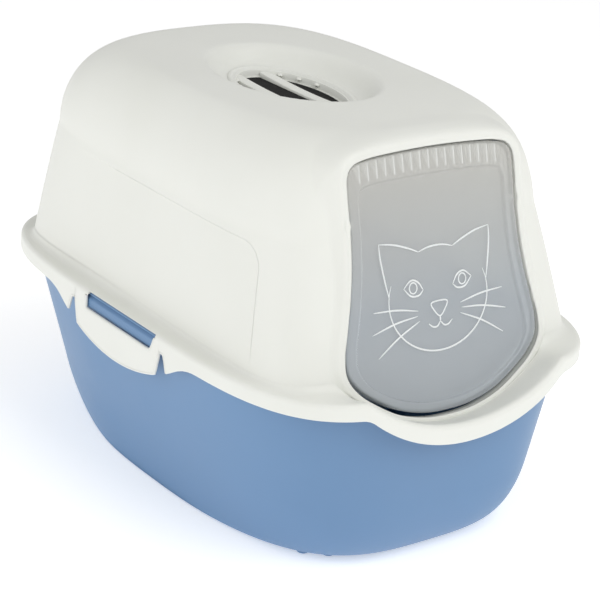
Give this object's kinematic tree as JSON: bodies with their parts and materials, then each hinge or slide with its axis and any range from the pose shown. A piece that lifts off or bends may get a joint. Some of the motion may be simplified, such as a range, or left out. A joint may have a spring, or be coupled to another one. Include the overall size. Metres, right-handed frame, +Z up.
{
  "type": "covered cat litter box",
  "caption": "Covered litter box: rounded open tray, lift-off hood with side clips, see-through swing door and a vented roof recess with a carbon filter.",
  "frame": {"origin": "on the floor under the middle of the rim", "axes": "+Z up, -Y towards the door (the front), +Y towards the back, +X to the right hand of someone who looks from the front along +Y"},
  "size_m": [0.4, 0.56, 0.39],
  "materials": {
    "tray_plastic": "satin injection-moulded polypropylene",
    "hood_plastic": "satin injection-moulded polypropylene",
    "door_plastic": "smoky clear moulded plastic",
    "filter_fleece": "needled fleece filled with activated carbon"
  },
  "bodies": {
    "tray": {"base_tray": "tray_plastic"},
    "hood": {"hood_shell": "hood_plastic", "filter_grille": "hood_plastic"},
    "door": {"door_flap": "door_plastic"},
    "clip_left": {"left_clip": "hood_plastic"},
    "clip_right": {"right_clip": "hood_plastic"},
    "filter_cassette": {"carbon_filter": "filter_fleece", "filter_retainer": "hood_plastic"}
  },
  "joints": [
    {"name": "hood_lift", "type": "slide", "parent": "tray", "child": "hood", "axis": [0, 0, 1], "range_m": [0, 0.07]},
    {"name": "door_swing", "type": "hinge", "parent": "hood", "child": "door", "pos_m": [0, -0.19313, 0.31991], "axis": [1, 0, 0], "range_deg": [-80, 80]},
    {"name": "left_clip_flex", "type": "hinge", "parent": "hood", "child": "clip_left", "pos_m": [-0.1987, 0.006, 0.1823], "axis": [0, 1, 0], "range_deg": [0, 12], "stiffness_Nm_per_rad": 0.3},
    {"name": "right_clip_flex", "type": "hinge", "parent": "hood", "child": "clip_right", "pos_m": [0.1987, 0.006, 0.1823], "axis": [0, -1, 0], "range_deg": [0, 12], "stiffness_Nm_per_rad": 0.3},
    {"name": "filter_cassette_drop", "type": "slide", "parent": "hood", "child": "filter_cassette", "axis": [0, 0, -1], "range_m": [0, 0.06]}
  ]
}
